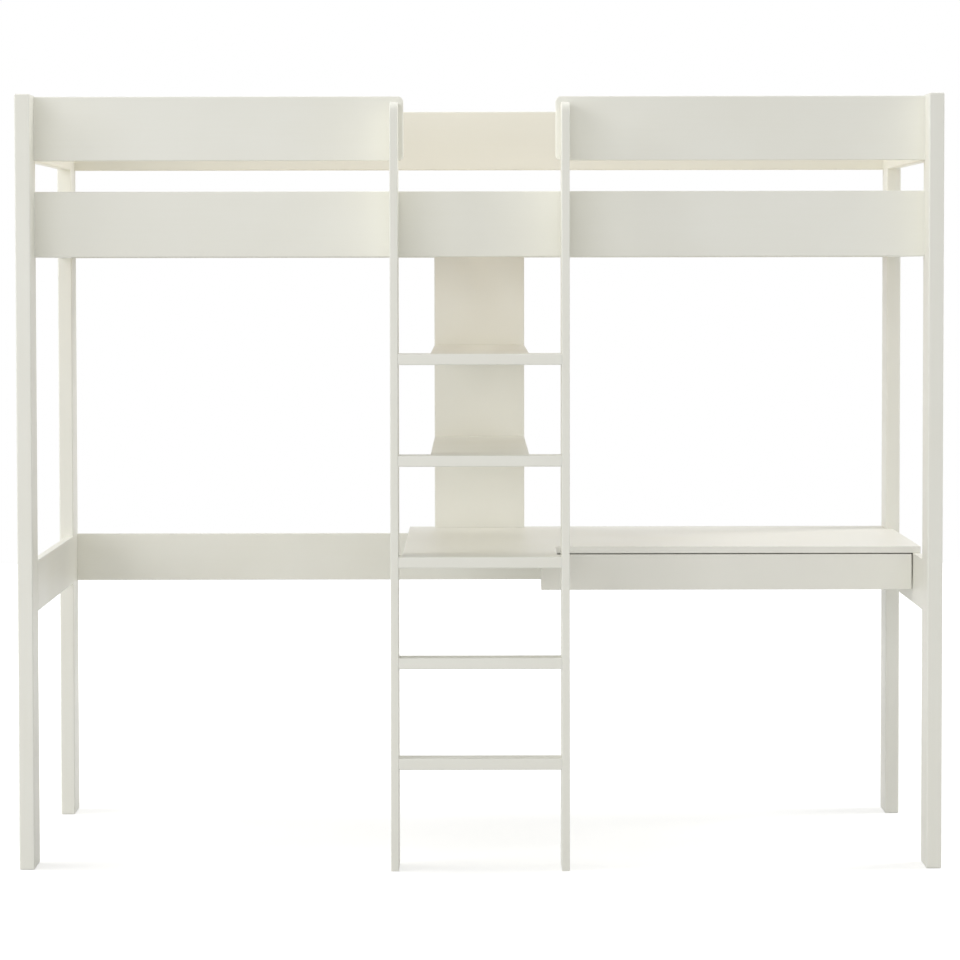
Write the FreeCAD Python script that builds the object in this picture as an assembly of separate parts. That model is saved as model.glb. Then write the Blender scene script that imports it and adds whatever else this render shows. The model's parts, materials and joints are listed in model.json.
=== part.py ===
import FreeCAD, Part
import os
from FreeCAD import Vector

# High sleeper bed with a fixed ladder, a desk with one drawer and a narrow two-shelf bookcase.
# Millimetres: X runs along the bed, Y from the ladder side to the wall side, Z up from the floor.
# The origin is on the floor under the middle of the whole bed.

# Mattress that the bed takes, and the play around it
mattress_length = 2000.0
mattress_width = 900.0
end_play = 6.0
side_play = 5.0

# Posts: boards on edge, narrow along the bed
post_width = 34.0
post_depth = 115.0
post_height = 1745.0
post_round = 3.0

# Guard rails and base rails
rail_thickness = 28.0
rail_round = 3.0
guard_drop = 3.0
guard_height = 145.0
guard_gap = 69.0
guard_overlap = 11.0
guard_corner = 12.0
base_height = 148.0

# Slats and the cleats under them
slat_count = 13
slat_width = 90.0
slat_thickness = 18.0
slat_rise = 62.0
slat_round = 3.0
slat_end_room = 2.0
slat_margin = 10.0
cleat_depth = 30.0
cleat_height = 35.0
cleat_room = 2.0

# Lower boards and desk top
board_thickness = 18.0
board_height = 116.0
board_round = 2.0
desk_top = 708.0
desk_thickness = 16.0
desk_round = 2.0
desk_corner = 6.0
desk_setback = 310.0
desk_room = 8.0

# Ladder
ladder_clear_width = 366.0
stile_thickness = 18.0
stile_depth = 120.0
stile_drop = 20.0
stile_nose = 24.0
stile_round = 2.0
rung_count = 5
first_step = 254.0
bed_step_rise = 11.0
rung_thickness = 25.0
rung_depth = 70.0
rung_round = 3.0

# Bookcase
shelf_width = 223.0
shelf_thickness = 18.0
shelf_round = 2.0
panel_thickness = 18.0

# Drawer
drawer_left = 142.0
drawer_side_gap = 2.5
drawer_top_gap = 2.2
drawer_front_height = 83.0
drawer_front_thickness = 18.0
drawer_round = 2.0
drawer_box_depth = 500.0
drawer_box_height = 62.0
drawer_box_drop = 10.0
drawer_wall = 12.0
drawer_floor = 6.0
drawer_floor_lift = 8.0
groove_depth = 6.0
groove_room = 0.3

# Runners: a fixed channel and a sliding channel inside it, on each side of the drawer box
runner_length = 480.0
runner_height = 35.0
runner_width = 13.0
runner_metal = 1.5
runner_gap = 0.4
runner_setback = 4.0
runner_end_inset = 60.0
carrier_thickness = 18.0
carrier_inset = 8.0
carrier_height = 82.0

# Bed bolts, barrel nuts and caps
bolt_diameter = 6.0
bolt_head_diameter = 15.0
bolt_head_height = 3.0
bolt_socket = 4.0
bolt_socket_depth = 2.0
bolt_spread = 80.0
bolt_end_past_nut = 8.0
counterbore_diameter = 18.0
counterbore_depth = 12.0
cap_thickness = 2.5
nut_diameter = 10.0
nut_length = 12.0
nut_inset = 40.0
nut_slot = 1.2

# Dowels
frame_dowel_diameter = 10.0
frame_dowel_length = 50.0
frame_dowel_spread = 30.0
board_dowel_diameter = 8.0
board_dowel_length = 30.0
board_dowel_in_thin = 10.0
board_dowel_end_inset = 60.0
back_dowel_count = 4
end_dowel_count = 3
drawer_dowel_diameter = 6.0
drawer_dowel_length = 30.0
drawer_dowel_in_board = 9.0
drawer_dowel_spread = 24.0

# Screws
screw_diameter = 4.5
screw_head_diameter = 9.0
screw_head_height = 2.6
screw_slot = 1.0
screw_slot_length = 5.0
screw_slot_depth = 1.0
rung_screw_length = 55.0
rung_screw_spread = 36.0
ladder_screw_length = 70.0
ladder_screw_spread = 90.0
slat_screw_length = 40.0
cleat_screw_length = 45.0
cleat_screw_count = 3
shelf_screw_length = 50.0
shelf_screw_spread = 140.0
panel_screw_length = 40.0
runner_screw_diameter = 3.5
runner_screw_length = 11.0
runner_head_diameter = 6.5
runner_head_height = 1.6

# Clearances
fit = 0.15
hole_end_room = 0.5
snap = 0.001

# Widths and planes that follow from the sizes above
inner_length = mattress_length + 2 * end_play
inner_width = mattress_width + 2 * side_play
inner_end = inner_length / 2
bed_end = inner_end + post_width
end_rail_outer = inner_end + rail_thickness
end_board_outer = inner_end + board_thickness

bed_width = post_depth + inner_width + rail_thickness
ladder_reach = stile_depth - (post_depth - rail_thickness)
ladder_front = -(bed_width + ladder_reach) / 2
rung_back = ladder_front + rung_depth
post_front = ladder_front + ladder_reach
inner_front = post_front + post_depth
rail_front = inner_front - rail_thickness
inner_back = inner_front + inner_width
bed_back = inner_back + rail_thickness
back_post_front = bed_back - post_depth
back_board_front = bed_back - board_thickness
panel_front = inner_back - panel_thickness
desk_front = post_front + desk_setback

guard_top = post_height - guard_drop
guard_bottom = guard_top - guard_height
base_top = guard_bottom - guard_gap
base_bottom = base_top - base_height
slat_top = base_bottom + slat_rise
slat_under = slat_top - slat_thickness
first_slat = -inner_end + slat_margin + slat_width / 2
slat_pitch = -2 * first_slat / (slat_count - 1)
desk_under = desk_top - desk_thickness
board_bottom = desk_under - board_height
guard_levels = (guard_bottom, guard_top)
base_levels = (base_bottom, base_top)
board_levels = (board_bottom, desk_under)

stile_inner = ladder_clear_width / 2
stile_outer = stile_inner + stile_thickness
guard_end = stile_inner - guard_overlap
desk_leg = stile_inner - desk_room
# The desk is level with the middle rung, and the base rail follows on from the top rung as the last step
desk_rung = rung_count // 2
lower_pitch = (desk_top - first_step) / desk_rung
upper_pitch = (base_bottom + bed_step_rise - desk_top) / (rung_count - desk_rung)
lower_rungs = [first_step + step * lower_pitch for step in range(desk_rung)]
upper_rungs = [desk_top + step * upper_pitch for step in range(rung_count - desk_rung)]
rung_tops = lower_rungs + upper_rungs
shelf_tops = upper_rungs[1:]
half_shelf = shelf_width / 2

drawer_right = inner_end - drawer_side_gap
drawer_front_top = desk_under - drawer_top_gap
drawer_front_bottom = drawer_front_top - drawer_front_height
box_front = desk_front + drawer_front_thickness
box_back = box_front + drawer_box_depth
box_top = drawer_front_top - drawer_box_drop
box_bottom = box_top - drawer_box_height
carrier_left = drawer_left + carrier_inset
carrier_right = carrier_left + carrier_thickness
box_left = carrier_right + runner_width
box_right = inner_end - runner_width
runner_middle = (box_bottom + box_top) / 2
runner_start = box_front + runner_setback

left, right = -1, 1
along_x = Vector(1, 0, 0)
along_y = Vector(0, 1, 0)
along_z = Vector(0, 0, 1)

pieces = {}
hole_cutters = {}
fasteners = {}


def block(x_pair, y_pair, z_pair):
    low = [min(pair) for pair in (x_pair, y_pair, z_pair)]
    size = [max(pair) - min(pair) for pair in (x_pair, y_pair, z_pair)]
    return Part.makeBox(*size, Vector(*low))


def spans(edge):
    box = edge.BoundBox
    return box.XLength, box.YLength, box.ZLength


def runs_along(edge, axis):
    return all((span > snap) == (index == axis) for index, span in enumerate(spans(edge)))


def soften(shape, radius, wanted):
    edges = [edge for edge in shape.Edges if wanted(edge)]
    return shape.makeFillet(radius, edges)


# A straight board whose four long edges are rounded and whose ends stay square for a butt joint
def beam(x_pair, y_pair, z_pair, axis, radius):
    return soften(block(x_pair, y_pair, z_pair), radius, lambda edge: runs_along(edge, axis))


def between(low, high, count):
    step = (high - low) / (count - 1)
    return [low + index * step for index in range(count)]


def placed(shape, point, direction):
    copy = shape.copy()
    copy.Placement = FreeCAD.Placement(point, FreeCAD.Rotation(along_z, direction))
    return copy


def drill(names, cutter):
    for name in names:
        hole_cutters.setdefault(name, []).append(cutter)


def rod(diameter, length, start=0.0):
    return Part.makeCylinder(diameter / 2, length, Vector(0, 0, start))


def hexagon_bar(across, length):
    bar = rod(2 * across, length)
    for turn in range(6):
        cut = block((across / 2, 2 * across), (-2 * across, 2 * across), (0, length))
        cut.rotate(Vector(0, 0, 0), along_z, turn * 60)
        bar = bar.cut(cut)
    return bar


# Countersunk screw with a cross slot, head face at zero, pointing up Z
def screw_shape(diameter, length, head_diameter, head_height):
    head = Part.makeCone(head_diameter / 2, diameter / 2, head_height)
    screw = head.fuse(rod(diameter, length)).removeSplitter()
    for turn in (0, 90):
        slot = block((-screw_slot_length / 2, screw_slot_length / 2), (-screw_slot / 2, screw_slot / 2),
                     (0, screw_slot_depth))
        slot.rotate(Vector(0, 0, 0), along_z, turn)
        screw = screw.cut(slot)
    return screw


def screw_hole(diameter, length, head_diameter, head_height):
    head = Part.makeCone(head_diameter / 2 + fit, diameter / 2 + fit, head_height)
    return head.fuse(rod(diameter + 2 * fit, length + hole_end_room)).removeSplitter()


def add_screw(group, names, point, direction, length):
    sizes = (screw_diameter, length, screw_head_diameter, screw_head_height)
    fasteners.setdefault(group, []).append(placed(screw_shape(*sizes), point, direction))
    drill(names, placed(screw_hole(*sizes), point, direction))


# Dowel across a joint face: near is how far it reaches back into the first piece
def add_dowel(group, names, point, direction, diameter, length, near):
    start = point - direction * near
    fasteners.setdefault(group, []).append(placed(rod(diameter, length), start, direction))
    hole = rod(diameter + 2 * fit, length + 2 * hole_end_room, -hole_end_room)
    drill(names, placed(hole, start, direction))


# Bed bolt from a post's outer face into a rail's end, with its barrel nut and cap
def add_bolt(post, rail, point, direction, nut_direction, rail_depth):
    nut_place = post_width + nut_inset
    shank_length = nut_place + bolt_end_past_nut - counterbore_depth
    head = rod(bolt_head_diameter, bolt_head_height, counterbore_depth - bolt_head_height)
    socket = hexagon_bar(bolt_socket, bolt_socket_depth)
    socket.translate(along_z * (counterbore_depth - bolt_head_height))
    bolt = head.fuse(rod(bolt_diameter, shank_length, counterbore_depth)).cut(socket)
    fasteners.setdefault("bed_bolts", []).append(placed(bolt, point, direction))
    cap = rod(counterbore_diameter - 2 * fit, cap_thickness)
    fasteners.setdefault("bolt_caps", []).append(placed(cap, point, direction))
    counterbore = rod(counterbore_diameter, counterbore_depth)
    hole = rod(bolt_diameter + 2 * fit, shank_length + hole_end_room, counterbore_depth)
    drill([post, rail], placed(counterbore.fuse(hole), point, direction))

    nut = rod(nut_diameter, nut_length, -nut_length / 2)
    slot = block((-nut_diameter, nut_diameter), (-nut_slot / 2, nut_slot / 2),
                 (-nut_length / 2, nut_slot - nut_length / 2))
    nut_point = point + direction * nut_place
    nut = placed(nut.cut(slot), nut_point, nut_direction)
    nut = nut.cut(placed(rod(bolt_diameter + 2 * fit, nut_diameter * 2, -nut_diameter), nut_point, direction))
    fasteners.setdefault("barrel_nuts", []).append(nut)
    nut_hole = rod(nut_diameter + 2 * fit, rail_depth / 2 + nut_length / 2 + fit, -rail_depth / 2)
    drill([rail], placed(nut_hole, nut_point, nut_direction))


def make_posts():
    for side, side_name in ((left, "left"), (right, "right")):
        for start, row_name in ((post_front, "front"), (back_post_front, "back")):
            post = block((side * inner_end, side * bed_end), (start, start + post_depth), (0, post_height))
            pieces[f"{row_name}_{side_name}_post"] = soften(post, post_round, lambda edge: True)


def make_long_rails():
    span = (-inner_end, inner_end)
    front_depth = (rail_front, inner_front)
    back_depth = (inner_back, bed_back)
    pieces["front_base_rail"] = beam(span, front_depth, base_levels, 0, rail_round)
    pieces["back_base_rail"] = beam(span, back_depth, base_levels, 0, rail_round)
    pieces["back_guard"] = beam(span, back_depth, guard_levels, 0, rail_round)
    board_depth = (back_board_front, bed_back)
    pieces["back_board"] = beam(span, board_depth, board_levels, 0, board_round)
    for side, name in ((left, "left"), (right, "right")):
        pieces[f"front_{name}_guard"] = front_guard(side, front_depth)


# A front guard butts against its post and has two rounded corners at its free end by the ladder
def front_guard(side, depth):
    free = side * guard_end
    butt = side * inner_end

    def at_free_corner(edge):
        return runs_along(edge, 1) and abs(edge.CenterOfMass.x - free) < snap

    def on_rim(edge):
        in_butt_face = spans(edge)[0] < snap and abs(edge.CenterOfMass.x - butt) < snap
        return spans(edge)[1] < snap and not in_butt_face

    guard = soften(block((free, butt), depth, guard_levels), guard_corner, at_free_corner)
    return soften(guard, rail_round, on_rim)


def make_end_rails():
    span = (inner_front, back_post_front)
    for side, name in ((left, "left"), (right, "right")):
        rail_width = (side * inner_end, side * end_rail_outer)
        pieces[f"{name}_end_guard"] = beam(rail_width, span, guard_levels, 1, rail_round)
        pieces[f"{name}_end_base_rail"] = beam(rail_width, span, base_levels, 1, rail_round)
        board_width = (side * inner_end, side * end_board_outer)
        pieces[f"{name}_end_board"] = beam(board_width, span, board_levels, 1, board_round)


def make_slats():
    cleat_levels = (slat_under - cleat_height, slat_under)
    cleat_end = inner_end - cleat_room
    panel_side = half_shelf + cleat_room
    front_depth = (inner_front, inner_front + cleat_depth)
    back_depth = (inner_back - cleat_depth, inner_back)
    pieces["front_slat_cleat"] = block((-cleat_end, cleat_end), front_depth, cleat_levels)
    pieces["back_left_slat_cleat"] = block((-cleat_end, -panel_side), back_depth, cleat_levels)
    pieces["back_right_slat_cleat"] = block((panel_side, cleat_end), back_depth, cleat_levels)
    depth = (inner_front + slat_end_room, inner_back - slat_end_room)
    for number, middle in enumerate(between(first_slat, -first_slat, slat_count), 1):
        width = (middle - slat_width / 2, middle + slat_width / 2)
        name = f"slat_{number:02d}"
        pieces[name] = beam(width, depth, (slat_under, slat_top), 1, slat_round)
        fasten_slat(name, middle)


def fasten_slat(name, middle):
    back_cleat = "back_left_slat_cleat" if middle < 0 else "back_right_slat_cleat"
    held_by_panel = abs(middle) < half_shelf
    back_holder = "bookcase_panel" if held_by_panel else back_cleat
    back_line = (panel_front + inner_back) / 2 if held_by_panel else inner_back - cleat_depth / 2
    front_line = inner_front + cleat_depth / 2
    for holder, line in (("front_slat_cleat", front_line), (back_holder, back_line)):
        add_screw("wood_screws", [name, holder], Vector(middle, line, slat_top), -along_z, slat_screw_length)


# Cleat screws sit under the gaps between slats, from each end towards the middle
def fasten_cleats():
    level = slat_under - cleat_height / 2
    gap_count = slat_count // 2
    for number in range(cleat_screw_count):
        gap = number * gap_count // cleat_screw_count
        reach = -first_slat - slat_pitch / 2 - gap * slat_pitch
        for side, name in ((left, "left"), (right, "right")):
            front_point = Vector(side * reach, inner_front + cleat_depth, level)
            back_point = Vector(side * reach, inner_back - cleat_depth, level)
            back_cleat = f"back_{name}_slat_cleat"
            for names, point, way in ((["front_slat_cleat", "front_base_rail"], front_point, -along_y),
                                      ([back_cleat, "back_base_rail"], back_point, along_y)):
                add_screw("wood_screws", names, point, way, cleat_screw_length)


def fasten_rails():
    middle_front = (rail_front + inner_front) / 2
    middle_back = (inner_back + bed_back) / 2
    middle_board = (back_board_front + bed_back) / 2
    joints = [("front", "front_base_rail", middle_front, base_levels, -along_y, rail_thickness),
              ("back", "back_base_rail", middle_back, base_levels, along_y, rail_thickness),
              ("back", "back_guard", middle_back, guard_levels, along_y, rail_thickness),
              ("back", "back_board", middle_board, board_levels, -along_y, board_thickness)]
    for side, name in ((left, "left"), (right, "right")):
        guard = ("front", f"front_{name}_guard", middle_front, guard_levels, -along_y, rail_thickness)
        for row, rail, line, levels, nut_direction, depth in joints + [guard]:
            for offset in (-bolt_spread / 2, bolt_spread / 2):
                point = Vector(side * bed_end, line, sum(levels) / 2 + offset)
                add_bolt(f"{row}_{name}_post", rail, point, along_x * -side, nut_direction, depth)


def fasten_end_frames():
    for side, name in ((left, "left"), (right, "right")):
        for rail, outer, levels in ((f"{name}_end_guard", end_rail_outer, guard_levels),
                                    (f"{name}_end_base_rail", end_rail_outer, base_levels),
                                    (f"{name}_end_board", end_board_outer, board_levels)):
            line = side * (inner_end + outer) / 2
            for row, face in (("front", inner_front), ("back", back_post_front)):
                for offset in (-frame_dowel_spread / 2, frame_dowel_spread / 2):
                    point = Vector(line, face, sum(levels) / 2 + offset)
                    add_dowel("frame_dowels", [f"{row}_{name}_post", rail], point, along_y,
                              frame_dowel_diameter, frame_dowel_length, frame_dowel_length / 2)


# Stile with a rounded nose at its top front corner
def make_ladder():
    stile_top = post_height - stile_drop
    for side, name in ((left, "left"), (right, "right")):
        stile = block((side * stile_inner, side * stile_outer), (ladder_front, rail_front), (0, stile_top))

        def at_nose(edge):
            middle = edge.CenterOfMass
            return runs_along(edge, 0) and middle.z > stile_top - snap and middle.y < ladder_front + snap

        stile = soften(stile, stile_nose, at_nose)
        pieces[f"{name}_stile"] = soften(stile, stile_round, lambda edge: spans(edge)[0] < snap)
    for number, top in enumerate(rung_tops, 1):
        levels = (top - rung_thickness, top)
        rung = beam((-stile_inner, stile_inner), (ladder_front, rung_back), levels, 0, rung_round)
        pieces[f"rung_{number}"] = rung
        fasten_rung(f"rung_{number}", sum(levels) / 2)
    fasten_ladder()


def fasten_rung(rung, level):
    middle = (ladder_front + rung_back) / 2
    for side, name in ((left, "left"), (right, "right")):
        for offset in (-rung_screw_spread / 2, rung_screw_spread / 2):
            point = Vector(side * stile_outer, middle + offset, level)
            add_screw("wood_screws", [f"{name}_stile", rung], point, along_x * -side, rung_screw_length)


def fasten_ladder():
    for side, name in ((left, "left"), (right, "right")):
        line = side * (stile_inner + stile_outer) / 2
        for rail, levels in (("front_base_rail", base_levels), (f"front_{name}_guard", guard_levels)):
            for offset in (-ladder_screw_spread / 2, ladder_screw_spread / 2):
                point = Vector(line, inner_front, sum(levels) / 2 + offset)
                add_screw("wood_screws", [rail, f"{name}_stile"], point, -along_y, ladder_screw_length)


# L-shaped top: the leg runs between the stiles to the rung, the wide part sits on the lower boards
def make_desk():
    outline = [(-desk_leg, rung_back), (desk_leg, rung_back), (desk_leg, desk_front),
               (end_board_outer, desk_front), (end_board_outer, back_post_front), (inner_end, back_post_front),
               (inner_end, bed_back), (-desk_leg, bed_back)]
    points = [Vector(x, y, desk_under) for x, y in outline]
    face = Part.Face(Part.makePolygon(points + points[:1]))
    desk = face.extrude(along_z * desk_thickness)

    def at_inner_corner(edge):
        middle = edge.CenterOfMass
        return runs_along(edge, 2) and abs(middle.x - desk_leg) < snap and abs(middle.y - desk_front) < snap

    def on_front_rim(edge):
        middle = edge.CenterOfMass
        seated = middle.y > back_post_front - snap and middle.x > desk_leg
        return spans(edge)[2] < snap and middle.y > rung_back + snap and not seated

    desk = soften(desk, desk_corner, at_inner_corner)
    pieces["desk_top"] = soften(desk, desk_round, on_front_rim)
    fasten_desk()


def fasten_desk():
    board_line = (back_board_front + bed_back) / 2
    near = board_dowel_length - board_dowel_in_thin
    for x in between(-desk_leg + board_dowel_end_inset, inner_end - board_dowel_end_inset, back_dowel_count):
        add_dowel("frame_dowels", ["back_board", "desk_top"], Vector(x, board_line, desk_under), along_z,
                  board_dowel_diameter, board_dowel_length, near)
    end_line = (inner_end + end_board_outer) / 2
    carrier_line = (carrier_left + carrier_right) / 2
    start = desk_front + board_dowel_end_inset
    for board, x in (("right_end_board", end_line), ("drawer_carrier", carrier_line)):
        for y in between(start, back_post_front - board_dowel_end_inset, end_dowel_count):
            add_dowel("frame_dowels", [board, "desk_top"], Vector(x, y, desk_under), along_z,
                      board_dowel_diameter, board_dowel_length, near)
    level = desk_top - desk_thickness / 2
    for x in (-half_shelf, half_shelf):
        add_dowel("frame_dowels", [f"rung_{desk_rung + 1}", "desk_top"], Vector(x, rung_back, level), along_y,
                  board_dowel_diameter, board_dowel_length, board_dowel_length / 2)


def make_bookcase():
    width = (-half_shelf, half_shelf)
    panel = beam(width, (panel_front, inner_back), (desk_top, slat_under), 2, shelf_round)
    pieces["bookcase_panel"] = panel
    panel_line = (panel_front + inner_back) / 2
    reach = shelf_screw_spread / 2
    near = board_dowel_length - board_dowel_in_thin
    for x in (-reach, reach):
        add_dowel("frame_dowels", ["desk_top", "bookcase_panel"], Vector(x, panel_line, desk_top), along_z,
                  board_dowel_diameter, board_dowel_length, board_dowel_length - near)
        level = (base_bottom + slat_under) / 2
        add_screw("wood_screws", ["bookcase_panel", "back_base_rail"], Vector(x, panel_front, level), along_y,
                  panel_screw_length)
    for number, top in enumerate(shelf_tops, 1):
        name = f"shelf_{number}"
        pieces[name] = beam(width, (rung_back, panel_front), (top - shelf_thickness, top), 1, shelf_round)
        level = top - shelf_thickness / 2
        for x in (-reach, reach):
            add_screw("wood_screws", ["bookcase_panel", name], Vector(x, inner_back, level), -along_y,
                      shelf_screw_length)
            rung = f"rung_{desk_rung + 1 + number}"
            add_dowel("frame_dowels", [rung, name], Vector(x, rung_back, level), along_y,
                      board_dowel_diameter, board_dowel_length, board_dowel_length / 2)


def make_drawer():
    front_span = (drawer_left, drawer_right)
    front_levels = (drawer_front_bottom, drawer_front_top)
    panel = block(front_span, (desk_front, box_front), front_levels)
    panel = soften(panel, drawer_round, lambda edge: True)
    floor_bottom = box_bottom + drawer_floor_lift
    floor_span = (box_left + drawer_wall - groove_depth, box_right - drawer_wall + groove_depth)
    floor_depth = (box_front - groove_depth, box_back)
    groove = block((floor_span[0] - groove_room, floor_span[1] + groove_room),
                   (floor_depth[0] - groove_room, floor_depth[1]),
                   (floor_bottom - groove_room, floor_bottom + drawer_floor + groove_room))
    depth = (box_front, box_back)
    levels = (box_bottom, box_top)
    inner_left = box_left + drawer_wall
    inner_right = box_right - drawer_wall
    pieces["drawer_front"] = panel.cut(groove)
    pieces["drawer_left_side"] = block((box_left, inner_left), depth, levels).cut(groove)
    pieces["drawer_right_side"] = block((inner_right, box_right), depth, levels).cut(groove)
    back_levels = (floor_bottom + drawer_floor, box_top)
    pieces["drawer_back"] = block((inner_left, inner_right), (box_back - drawer_wall, box_back), back_levels)
    pieces["drawer_bottom"] = block(floor_span, floor_depth, (floor_bottom, floor_bottom + drawer_floor))
    fasten_drawer(inner_left, inner_right)


def fasten_drawer(inner_left, inner_right):
    middle = (box_bottom + drawer_floor_lift + drawer_floor + box_top) / 2
    for name, outer, inner, direction in (("drawer_left_side", box_left, inner_left, along_x),
                                          ("drawer_right_side", box_right, inner_right, -along_x)):
        for level in (middle - drawer_dowel_spread / 2, middle + drawer_dowel_spread / 2):
            front_point = Vector((outer + inner) / 2, box_front, level)
            back_point = Vector(inner, box_back - drawer_wall / 2, level)
            for names, point, way in ((["drawer_front", name], front_point, along_y),
                                      ([name, "drawer_back"], back_point, direction)):
                add_dowel("drawer_dowels", names, point, way,
                          drawer_dowel_diameter, drawer_dowel_length, drawer_dowel_in_board)


# The carrier hangs under the desk and takes the left runner, the right end board takes the right one
def make_carrier():
    depth = (box_front + runner_setback, back_board_front)
    levels = (desk_under - carrier_height, desk_under)
    pieces["drawer_carrier"] = block((carrier_left, carrier_right), depth, levels)


# Channel open towards the other member: web on the wall face, a flange along each long edge
def channel(face, direction, height):
    web = (face, face + direction * runner_metal)
    reach = (face, face + direction * (runner_width - runner_metal - runner_gap))
    half = height / 2
    depth = (runner_start, runner_start + runner_length)
    shape = block(web, depth, (runner_middle - half, runner_middle + half))
    for level in (-half, half - runner_metal):
        flange = (runner_middle + level, runner_middle + level + runner_metal)
        shape = shape.fuse(block(reach, depth, flange))
    return shape.removeSplitter()


def make_runners():
    inner_height = runner_height - 2 * (runner_metal + runner_gap)
    for name, wall, wall_face, box_face, direction in (
            ("left", "drawer_carrier", carrier_right, box_left, along_x),
            ("right", "right_end_board", inner_end, box_right, -along_x)):
        pieces[f"{name}_runner_fixed"] = channel(wall_face, direction.x, runner_height)
        pieces[f"{name}_runner_sliding"] = channel(box_face, -direction.x, inner_height)
        ends = (runner_start + runner_end_inset, runner_start + runner_length - runner_end_inset)
        for y in (ends[0], sum(ends) / 2, ends[1]):
            fixed_point = Vector(wall_face + direction.x * runner_metal, y, runner_middle)
            add_runner_screw("wood_screws", [f"{name}_runner_fixed", wall], fixed_point, -direction)
            sliding_point = Vector(box_face - direction.x * runner_metal, y, runner_middle)
            sliding_names = [f"{name}_runner_sliding", f"drawer_{name}_side"]
            add_runner_screw("drawer_screws", sliding_names, sliding_point, direction)


# Flat-headed screw whose head bears on the channel's web
def add_runner_screw(group, names, point, direction):
    head = rod(runner_head_diameter, runner_head_height, -runner_head_height)
    screw = head.fuse(rod(runner_screw_diameter, runner_screw_length))
    fasteners.setdefault(group, []).append(placed(screw, point, direction))
    hole = rod(runner_screw_diameter + 2 * fit, runner_screw_length + hole_end_room)
    drill(names, placed(hole, point, direction))


def write_pieces():
    os.makedirs("parts", exist_ok=True)
    for name, cutters in hole_cutters.items():
        pieces[name] = pieces[name].cut(cutters)
    for name, solids in fasteners.items():
        pieces[name] = Part.makeCompound(solids)
    for name, shape in pieces.items():
        shape.exportStep(f"parts/{name}.step")
        print(name, len(shape.Solids), round(shape.Volume), shape.isValid())


make_posts()
make_long_rails()
make_end_rails()
make_ladder()
make_carrier()
make_desk()
make_bookcase()
make_slats()
make_drawer()
make_runners()
fasten_rails()
fasten_end_frames()
fasten_cleats()
write_pieces()
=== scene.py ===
import json
import bpy
import numpy as np
from mathutils import Matrix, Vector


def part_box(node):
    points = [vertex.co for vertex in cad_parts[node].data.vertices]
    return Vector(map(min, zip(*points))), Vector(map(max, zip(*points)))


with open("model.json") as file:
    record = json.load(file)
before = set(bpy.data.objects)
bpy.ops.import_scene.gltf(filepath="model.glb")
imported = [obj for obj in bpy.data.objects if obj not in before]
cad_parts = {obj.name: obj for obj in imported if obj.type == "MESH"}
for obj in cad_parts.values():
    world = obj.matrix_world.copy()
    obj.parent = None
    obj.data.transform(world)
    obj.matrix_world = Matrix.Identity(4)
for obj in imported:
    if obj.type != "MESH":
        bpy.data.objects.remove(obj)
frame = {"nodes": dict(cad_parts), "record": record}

scene = bpy.context.scene
scene.view_settings.view_transform = "Standard"
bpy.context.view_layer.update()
print("frame loaded:", len(frame["nodes"]), "nodes")


# a socket given as a value is linked, anything else is set on the input itself
def setInputs(tree, node, inputs):
    for key, value in inputs.items():
        if isinstance(value, bpy.types.NodeSocket):
            tree.links.new(value, node.inputs[key])
        else:
            node.inputs[key].default_value = value


def addNode(tree, kind, inputs=None, **settings):
    node = tree.nodes.new(kind)
    for key, value in settings.items():
        setattr(node, key, value)
    setInputs(tree, node, inputs or {})
    return node


def mathNode(tree, operation, first, second=0.0):
    return addNode(tree, "ShaderNodeMath", {0: first, 1: second}, operation=operation).outputs[0]


def vectorNode(tree, operation, first, second):
    return addNode(tree, "ShaderNodeVectorMath", {0: first, 1: second}, operation=operation).outputs[0]


def noiseNode(tree, vector, settings):
    return addNode(tree, "ShaderNodeTexNoise", {"Vector": vector, **settings}).outputs["Fac"]


# a value range moved to another range, with soft ends and nothing outside them
def rangeNode(tree, value, low, high, newLow=0.0, newHigh=1.0):
    inputs = {"Value": value, "From Min": low, "From Max": high, "To Min": newLow, "To Max": newHigh}
    return addNode(tree, "ShaderNodeMapRange", inputs, interpolation_type="SMOOTHSTEP").outputs["Result"]


# two values added up, each with its own share
def shareNode(tree, first, second, shares):
    parts = [mathNode(tree, "MULTIPLY", value, share) for value, share in zip((first, second), shares)]
    return mathNode(tree, "ADD", *parts)


# inputs 6 and 7 and output 2 are the mix node's colour sockets
def mixColour(tree, factor, first, second):
    return addNode(tree, "ShaderNodeMix", {0: factor, 6: first, 7: second}, data_type="RGBA").outputs[2]


# lays another colour over the first where the mask is 1, as strongly as its share says
def coatNode(tree, colour, mask, share, coat):
    return mixColour(tree, mathNode(tree, "MULTIPLY", mask, share), colour, rgba(coat))


def bumpNode(tree, height, strength, distance, normal=None):
    inputs = {"Height": height, "Strength": strength, "Distance": distance}
    if normal is not None:
        inputs["Normal"] = normal
    return addNode(tree, "ShaderNodeBump", inputs).outputs["Normal"]


def objectPoint(tree):
    return addNode(tree, "ShaderNodeTexCoord").outputs["Object"]


def rgba(colour):
    return (*colour, 1.0)


def emptyMaterial(name):
    material = bpy.data.materials.new(name)
    material.use_nodes = True
    material.node_tree.nodes.clear()
    return material, material.node_tree


def startMaterial(name):
    material, tree = emptyMaterial(name)
    shader = addNode(tree, "ShaderNodeBsdfPrincipled")
    addNode(tree, "ShaderNodeOutputMaterial", {"Surface": shader.outputs["BSDF"]})
    return material, tree, shader


def dress(nodes, material):
    for node in nodes:
        mesh = frame["nodes"][node].data
        mesh.materials.clear()
        mesh.materials.append(material)


# a board's middle, half sizes and the axis that it is longest along
def boardFrame(node):
    low, high = (np.array(corner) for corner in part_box(node))
    return (low + high) / 2, (high - low) / 2, int(np.argmax(high - low))


# stretched coordinates: few changes along the board, many across it
def grainVector(tree, point, longAxis, along, across):
    scale = [across] * 3
    scale[longAxis] = along
    return vectorNode(tree, "MULTIPLY", point, scale)


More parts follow.
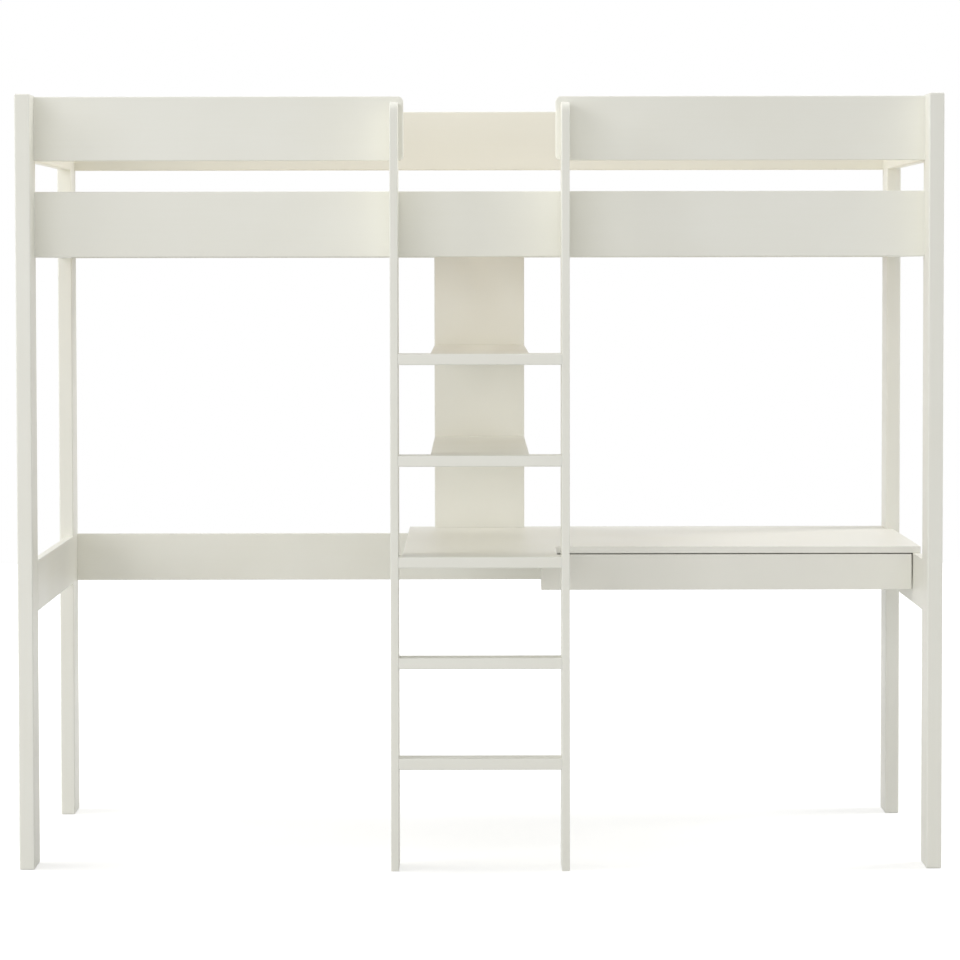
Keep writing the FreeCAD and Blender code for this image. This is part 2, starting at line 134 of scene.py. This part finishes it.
# distance to the nearest edge of a board: the middle one of the distances to its three pairs of faces
def edgeDistance(tree, local, half):
    away = addNode(tree, "ShaderNodeVectorMath", {0: local}, operation="ABSOLUTE").outputs[0]
    room = vectorNode(tree, "SUBTRACT", tuple(half), away)
    parts = addNode(tree, "ShaderNodeSeparateXYZ", {0: room}).outputs
    least = mathNode(tree, "MINIMUM", parts[0], parts[1])
    most = mathNode(tree, "MAXIMUM", parts[0], parts[1])
    return mathNode(tree, "MAXIMUM", least, mathNode(tree, "MINIMUM", most, parts[2]))


slotNodes = {}
for part in frame["record"]["subparts"]:
    slotNodes.setdefault(part["material_slot"], []).append(part["node"])


paintLook = {
    "colour": (0.898, 0.892, 0.818),
    "cloud": (0.882, 0.872, 0.788),      # slightly yellower patches
    "cloudNoise": {"Scale": 2.6, "Detail": 3.0, "Roughness": 0.55},
    "cloudShift": 7.0,                   # gives each board other patches
    "cloudRange": (0.3, 0.7),
    "grainStretch": (5.0, 170.0),        # along and across the board
    "grainNoise": {"Scale": 1.0, "Detail": 4.0, "Roughness": 0.6},
    "grainRange": (0.35, 0.75),
    "grainBump": (0.16, 0.0003),         # strength, depth in metres
    "toneShares": (0.75, 0.25),          # of patches and grain
    "peelNoise": {"Scale": 520.0, "Detail": 2.0},
    "peelBump": (0.07, 0.0002),
    "edge": (0.905, 0.900, 0.840),       # painted highlight: a lighter colour laid along the arrises
    "edgeReach": (0.0036, 0.0009),       # metres from the edge, where it starts and is full
    "arrisHighlightShare": 0.6,
    "rub": (0.76, 0.725, 0.62),          # undercoat that starts to show on corners
    "rubNoise": {"Scale": 46.0, "Detail": 4.0, "Roughness": 0.65},
    "rubRange": (0.60, 0.74),
    "rubShare": 0.35,
    "glossShares": (0.6, 0.4),           # of patches and sprayed texture
    "glossRange": (0.3, 0.7),
    "roughness": (0.36, 0.48),
}
smoothLightenedLook = {
    **paintLook,                         # smooth panel board under the same paint, with fainter grain; its colours are lighter than the frame's, painted light that lifts the shade under the bed
    "colour": (0.915, 0.908, 0.842),
    "cloud": (0.902, 0.890, 0.815),
    "grainBump": (0.056, 0.0003),
    "toneShares": (0.75, 0.0875),
}


# satin paint over a board: cloudy tone, faint raised grain, sprayed texture, a painted highlight along the
# arrises and undercoat rubbed through in places there
def paintedBoard(node, look):
    material, tree, shader = startMaterial("paint_" + node)
    middle, half, longAxis = boardFrame(node)
    point = objectPoint(tree)
    local = vectorNode(tree, "SUBTRACT", point, tuple(middle))
    shifted = vectorNode(tree, "ADD", point, tuple(middle * look["cloudShift"]))
    streaks = noiseNode(tree, grainVector(tree, local, longAxis, *look["grainStretch"]), look["grainNoise"])
    cloud = noiseNode(tree, shifted, look["cloudNoise"])
    peel = noiseNode(tree, point, look["peelNoise"])
    rim = rangeNode(tree, edgeDistance(tree, local, half), *look["edgeReach"])
    scuff = rangeNode(tree, noiseNode(tree, point, look["rubNoise"]), *look["rubRange"])
    rubbed = mathNode(tree, "MULTIPLY", rim, scuff)

    patches = rangeNode(tree, cloud, *look["cloudRange"])
    tone = shareNode(tree, patches, rangeNode(tree, streaks, *look["grainRange"]), look["toneShares"])
    colour = mixColour(tree, tone, rgba(look["colour"]), rgba(look["cloud"]))
    # painted highlight: the arrises are lightened in colour whatever light falls on them
    colour = coatNode(tree, colour, rim, look["arrisHighlightShare"], look["edge"])
    colour = coatNode(tree, colour, rubbed, look["rubShare"], look["rub"])
    gloss = shareNode(tree, cloud, peel, look["glossShares"])
    roughness = rangeNode(tree, gloss, *look["glossRange"], *look["roughness"])
    normal = bumpNode(tree, streaks, *look["grainBump"])
    normal = bumpNode(tree, peel, *look["peelBump"], normal)
    setInputs(tree, shader, {"Base Color": colour, "Roughness": roughness, "Normal": normal})
    dress([node], material)


slotLooks = {
    "frame_paint": paintLook,
    "ladder_paint": paintLook,
    "desk_paint": smoothLightenedLook,
    "drawer_box_board": smoothLightenedLook,
}
for slot, look in slotLooks.items():
    for node in slotNodes[slot]:
        paintedBoard(node, look)
print("painted boards:", sum(len(slotNodes[slot]) for slot in slotLooks))


softwoodLook = {
    "early": (0.87, 0.78, 0.61),
    "late": (0.74, 0.58, 0.38),
    "boardShift": 2.0,                   # each board shows another piece of the log
    "ringStretch": (0.7, 34.0),          # along and across the board
    "ringNoise": {"Scale": 1.0, "Detail": 2.0, "Roughness": 0.5, "Distortion": 0.6},
    "ringCount": 9.0,
    "ringRange": (0.35, 0.95),
    "ringShare": 0.55,
    "fibreStretch": (7.0, 420.0),
    "fibreNoise": {"Scale": 1.0, "Detail": 4.0, "Roughness": 0.6},
    "fibreRange": (0.45, 0.8),
    "fibreShare": 0.3,
    "knot": (0.36, 0.20, 0.10),
    "knotStretch": (3.2, 13.0),
    "knotFrom": 0.72,                    # only cells with a higher random value hold a knot
    "knotReach": (0.17, 0.06),
    "knotShare": 0.85,
    "glossRange": (0.25, 0.75),
    "roughness": (0.48, 0.66),
    "bump": (0.25, 0.0003),
}


# planed softwood: growth rings stretched along the board, fine fibres, a knot here and there
def softwoodBoard(node, look):
    material, tree, shader = startMaterial("softwood_" + node)
    middle, _, longAxis = boardFrame(node)
    local = vectorNode(tree, "ADD", objectPoint(tree), tuple(middle * look["boardShift"]))
    rings = noiseNode(tree, grainVector(tree, local, longAxis, *look["ringStretch"]), look["ringNoise"])
    bands = mathNode(tree, "FRACT", mathNode(tree, "MULTIPLY", rings, look["ringCount"]))
    late = rangeNode(tree, bands, *look["ringRange"])
    fibres = noiseNode(tree, grainVector(tree, local, longAxis, *look["fibreStretch"]), look["fibreNoise"])
    knotPlace = grainVector(tree, local, longAxis, *look["knotStretch"])
    cells = addNode(tree, "ShaderNodeTexVoronoi", {"Vector": knotPlace, "Scale": 1.0}).outputs
    chance = addNode(tree, "ShaderNodeSeparateColor", {0: cells["Color"]}).outputs[0]
    chosen = mathNode(tree, "GREATER_THAN", chance, look["knotFrom"])
    knot = mathNode(tree, "MULTIPLY", rangeNode(tree, cells["Distance"], *look["knotReach"]), chosen)

    colour = coatNode(tree, rgba(look["early"]), late, look["ringShare"], look["late"])
    strands = rangeNode(tree, fibres, *look["fibreRange"])
    colour = coatNode(tree, colour, strands, look["fibreShare"], look["late"])
    colour = coatNode(tree, colour, knot, look["knotShare"], look["knot"])
    roughness = rangeNode(tree, fibres, *look["glossRange"], *look["roughness"])
    normal = bumpNode(tree, fibres, *look["bump"])
    setInputs(tree, shader, {"Base Color": colour, "Roughness": roughness, "Normal": normal})
    dress([node], material)


for node in slotNodes["slat_wood"]:
    softwoodBoard(node, softwoodLook)
print("softwood boards:", len(slotNodes["slat_wood"]))


platingLook = {
    "drawnStretch": (900.0, 12.0, 900.0),
    "drawnNoise": {"Scale": 1.0, "Detail": 3.0},
    "toneShares": (0.6, 0.4),            # of crystal cells and drawn streaks
    "glossRange": (0.1, 0.9),
    "bump": (0.12, 0.0001),
}
steelLooks = {
    "runner_steel": {
        **platingLook,
        "bright": (0.70, 0.71, 0.72),
        "dull": (0.52, 0.53, 0.55),
        "roughness": (0.24, 0.42),
        "cellScale": 260.0,
    },
    "fastener_steel": {
        **platingLook,
        "bright": (0.74, 0.72, 0.66),    # yellowish zinc
        "dull": (0.54, 0.52, 0.47),
        "roughness": (0.26, 0.46),
        "cellScale": 900.0,
    },
}


# zinc plating: fine crystal cells that differ in tone and shine, with drawn streaks along Y
def platedSteel(slot, look):
    material, tree, shader = startMaterial(slot)
    point = objectPoint(tree)
    cells = addNode(tree, "ShaderNodeTexVoronoi", {"Vector": point, "Scale": look["cellScale"]}).outputs
    shade = addNode(tree, "ShaderNodeSeparateColor", {0: cells["Color"]}).outputs[0]
    drawn = noiseNode(tree, vectorNode(tree, "MULTIPLY", point, look["drawnStretch"]), look["drawnNoise"])
    tone = shareNode(tree, shade, drawn, look["toneShares"])
    colour = mixColour(tree, tone, rgba(look["bright"]), rgba(look["dull"]))
    roughness = rangeNode(tree, tone, *look["glossRange"], *look["roughness"])
    normal = bumpNode(tree, drawn, *look["bump"])
    setInputs(tree, shader, {"Base Color": colour, "Roughness": roughness, "Normal": normal, "Metallic": 1.0})
    dress(slotNodes[slot], material)


for slot, look in steelLooks.items():
    platedSteel(slot, look)


dowelLook = {
    "pale": (0.74, 0.58, 0.40),
    "fleck": (0.55, 0.37, 0.22),
    "fleckNoise": {"Scale": 650.0, "Detail": 3.0, "Roughness": 0.7},
    "fleckRange": (0.55, 0.72),
    "cloudNoise": {"Scale": 60.0, "Detail": 2.0},
    "glossRange": (0.3, 0.7),
    "roughness": (0.5, 0.65),
    "bump": (0.2, 0.0002),
}


# beech: pale wood with short dark flecks
def beechDowels(look):
    material, tree, shader = startMaterial("beech")
    point = objectPoint(tree)
    flecks = noiseNode(tree, point, look["fleckNoise"])
    cloud = noiseNode(tree, point, look["cloudNoise"])
    dark = rangeNode(tree, flecks, *look["fleckRange"])
    colour = mixColour(tree, dark, rgba(look["pale"]), rgba(look["fleck"]))
    roughness = rangeNode(tree, cloud, *look["glossRange"], *look["roughness"])
    normal = bumpNode(tree, flecks, *look["bump"])
    setInputs(tree, shader, {"Base Color": colour, "Roughness": roughness, "Normal": normal})
    dress(slotNodes["dowel_wood"], material)


beechDowels(dowelLook)


capLook = {
    "colour": (0.775, 0.76, 0.68),
    "shade": (0.73, 0.71, 0.62),
    "pitNoise": {"Scale": 1400.0, "Detail": 2.0, "Roughness": 0.6},
    "cloudNoise": {"Scale": 35.0, "Detail": 2.0},
    "glossRange": (0.3, 0.7),
    "roughness": (0.45, 0.6),
    "bump": (0.15, 0.0001),
}


# moulded cover caps: fine eroded grain and a slightly uneven tone
def mouldedCaps(look):
    material, tree, shader = startMaterial("moulded_caps")
    point = objectPoint(tree)
    pits = noiseNode(tree, point, look["pitNoise"])
    cloud = noiseNode(tree, point, look["cloudNoise"])
    colour = mixColour(tree, cloud, rgba(look["colour"]), rgba(look["shade"]))
    roughness = rangeNode(tree, pits, *look["glossRange"], *look["roughness"])
    normal = bumpNode(tree, pits, *look["bump"])
    setInputs(tree, shader, {"Base Color": colour, "Roughness": roughness, "Normal": normal})
    dress(slotNodes["cap_plastic"], material)


mouldedCaps(capLook)
print("steel, dowels and caps dressed")


floorSetup = {
    "reach": 9.0,                        # metres
    "steps": 24,
    "drop": 0.0004,
    "colour": (0.60, 0.60, 0.59),
    "glow": (0.60, 1.0),                 # near the middle, where the shadow lies, and far out
    "glowReach": (2.2, 5.0),
}


# 1 where the camera, a glossy surface or glass looks at the backdrop, else 0
def seenDirectly(tree):
    path = addNode(tree, "ShaderNodeLightPath").outputs
    seen = mathNode(tree, "MAXIMUM", path["Is Camera Ray"], path["Is Glossy Ray"])
    return mathNode(tree, "MAXIMUM", seen, path["Is Transmission Ray"])


# level floor: a square grid, z constant just under the feet
def layFloor(setup):
    line = np.linspace(-setup["reach"], setup["reach"], setup["steps"] + 1)
    x, y = np.meshgrid(line, line)
    points = np.stack((x, y, np.full_like(x, -setup["drop"])), -1).reshape(-1, 3)
    across = len(line)
    corner = (np.arange(setup["steps"])[:, None] * across + np.arange(setup["steps"])).ravel()
    faces = np.stack((corner, corner + 1, corner + across + 1, corner + across), -1)
    mesh = bpy.data.meshes.new("floor")
    mesh.from_pydata(points.tolist(), [], faces.tolist())
    floor = bpy.data.objects.new("floor", mesh)
    scene.collection.objects.link(floor)

    material, tree = emptyMaterial("floor")
    matt = addNode(tree, "ShaderNodeBsdfDiffuse", {"Color": rgba(setup["colour"])}).outputs[0]
    away = addNode(tree, "ShaderNodeVectorMath", {0: objectPoint(tree)}, operation="LENGTH").outputs["Value"]
    strength = rangeNode(tree, away, *setup["glowReach"], *setup["glow"])
    glow = addNode(tree, "ShaderNodeEmission", {"Strength": strength}).outputs[0]
    shown = addNode(tree, "ShaderNodeAddShader", {0: matt, 1: glow}).outputs[0]
    mixed = addNode(tree, "ShaderNodeMixShader", {0: seenDirectly(tree), 1: matt, 2: shown}).outputs[0]
    addNode(tree, "ShaderNodeOutputMaterial", {"Surface": mixed})
    mesh.materials.append(material)


layFloor(floorSetup)


upright = np.array((0.0, 0.0, 1.0))


# an object's matrix from its three axes and its place
def placement(axes, place):
    matrix = np.eye(4)
    matrix[:3, :3] = np.stack(axes, 1)
    matrix[:3, 3] = place
    return Matrix(matrix.tolist())


lightSetup = {
    "sky": (1.0, 1.0, 1.0),
    "skyStrength": 0.42,
    "backdrop": 1.0,                     # white where it is looked at
    "target": (0.0, 0.0, 0.9),
    "lamps": {                           # metres, watts
        "frontLeft": {"place": (-8.95, -15.5, 2.78), "size": (9.0, 5.0), "watts": 434.0},
        "front": {"place": (0.0, -24.0, 1.95), "size": (12.0, 5.0), "watts": 570.0},
        "sideLeft": {"place": (-5.39, -1.96, 4.92), "size": (3.5, 3.5), "watts": 119.0},
        "highLeft": {"place": (-5.43, 0.96, 5.21), "size": (3.5, 3.5), "watts": 120.0},
        "highRight": {"place": (5.43, 0.96, 5.21), "size": (3.5, 3.5), "watts": 222.0},
        "overhead": {"place": (0.0, -0.21, 6.9), "size": (4.0, 4.0), "watts": 36.0},
    },
}


# even ambient light, a white backdrop, and soft lamps that all face the target
def lightStage(setup):
    world = bpy.data.worlds.new("studio")
    scene.world = world
    world.use_nodes = True
    tree = world.node_tree
    tree.nodes.clear()
    sky = rgba(setup["sky"])
    ambient, white = (
        addNode(tree, "ShaderNodeBackground", {"Color": sky, "Strength": setup[key]}).outputs[0]
        for key in ("skyStrength", "backdrop")
    )
    mixed = addNode(tree, "ShaderNodeMixShader", {0: seenDirectly(tree), 1: ambient, 2: white}).outputs[0]
    addNode(tree, "ShaderNodeOutputWorld", {"Surface": mixed})
    for name, lamp in setup["lamps"].items():
        data = bpy.data.lights.new(name, "AREA")
        data.shape = "RECTANGLE"
        data.size, data.size_y = lamp["size"]
        data.energy = lamp["watts"]
        back = np.array(lamp["place"]) - np.array(setup["target"])
        back = back / np.linalg.norm(back)
        right = np.cross(upright, back)
        right = right / np.linalg.norm(right)
        holder = bpy.data.objects.new(name, data)
        holder.matrix_world = placement((right, np.cross(back, right), back), lamp["place"])
        holder.visible_camera = False
        scene.collection.objects.link(holder)


lightStage(lightSetup)


cameraSetup = {
    "lens": 153.9,                       # millimetres
    "sensor": 36.0,
    "place": (-0.0101, -9.7127, 1.3610),
    "pitch": 2.9956,                     # degrees down
    "yaw": 0.0633,
    "roll": -0.0837,
}


# camera directions: yaw about the vertical, then pitch down, then roll about the line of sight
def aimCamera(setup):
    pitch, yaw, roll = np.radians([setup[key] for key in ("pitch", "yaw", "roll")])
    level = np.array((np.sin(yaw), np.cos(yaw), 0.0))
    side = np.array((np.cos(yaw), -np.sin(yaw), 0.0))
    forward = level * np.cos(pitch) - upright * np.sin(pitch)
    upward = upright * np.cos(pitch) + level * np.sin(pitch)
    right = side * np.cos(roll) + upward * np.sin(roll)
    up = upward * np.cos(roll) - side * np.sin(roll)
    data = bpy.data.cameras.new("camera")
    data.lens = setup["lens"]
    data.sensor_width = setup["sensor"]
    camera = bpy.data.objects.new("camera", data)
    camera.matrix_world = placement((right, up, -forward), setup["place"])
    scene.collection.objects.link(camera)
    scene.camera = camera


aimCamera(cameraSetup)
print("floor, lights and camera set")
